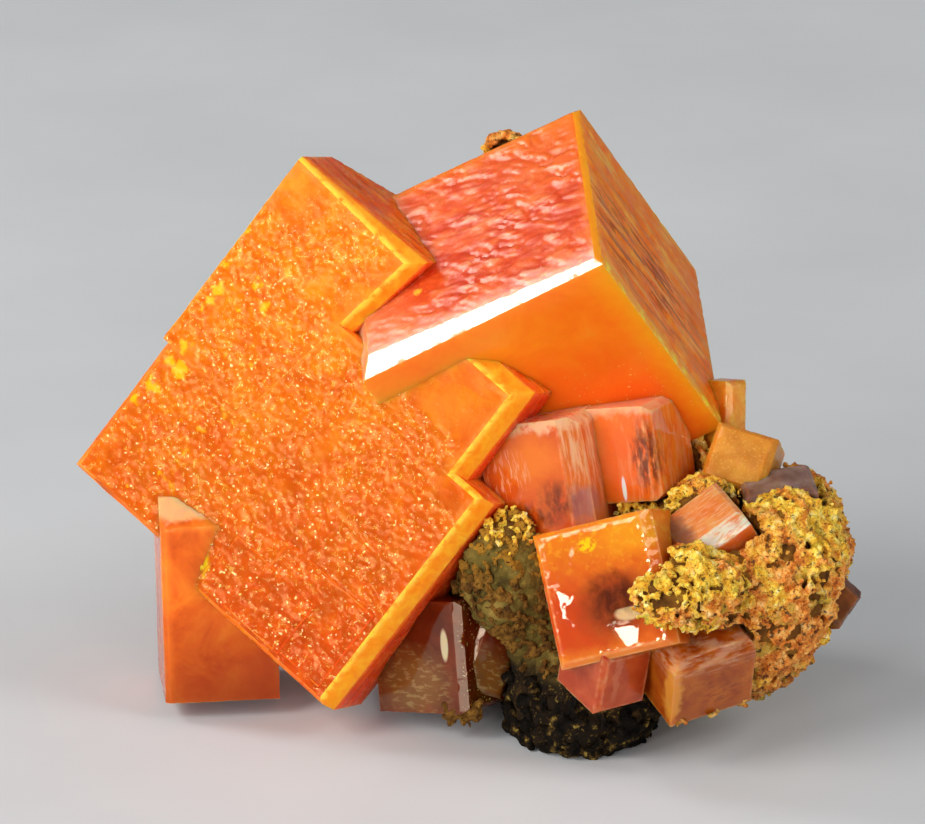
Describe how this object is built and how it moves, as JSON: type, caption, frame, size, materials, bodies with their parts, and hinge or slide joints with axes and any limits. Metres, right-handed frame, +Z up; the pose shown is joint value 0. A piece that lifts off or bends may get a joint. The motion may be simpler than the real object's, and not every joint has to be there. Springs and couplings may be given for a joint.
{
  "type": "wulfenite on matrix specimen",
  "caption": "Loose mineral specimen of thick tabular orange wulfenite crystals grown together on a small lump of limonite rock with a mustard crust.",
  "frame": {"origin": "bottom centre of the specimen's box, on the surface that it stands on", "axes": "+X to the right across the specimen's long side as seen from the display side, -Y towards the viewer, +Z up"},
  "size_m": [0.0552, 0.0352, 0.0414],
  "materials": {
    "orange_crystal": "resinous, translucent orange",
    "clear_orange_crystal": "clear orange to red, resinous lustre",
    "pink_orange_crystal": "clear, rippled face with a pale sheen",
    "cloudy_crystal": "frosted yellow-brown",
    "brown_crystal": "purple-brown, smooth",
    "limonite": "porous rock with a grainy mustard and green crust"
  },
  "bodies": {
    "root": {"large_crystals": "orange_crystal", "front_crystals": "clear_orange_crystal", "leaning_crystal": "pink_orange_crystal", "frosted_crystal": "cloudy_crystal", "edge_crystal": "orange_crystal", "flat_crystal": "brown_crystal", "tip_crystal": "brown_crystal", "crust_fleck": "limonite", "matrix": "limonite"}
  },
  "joints": []
}
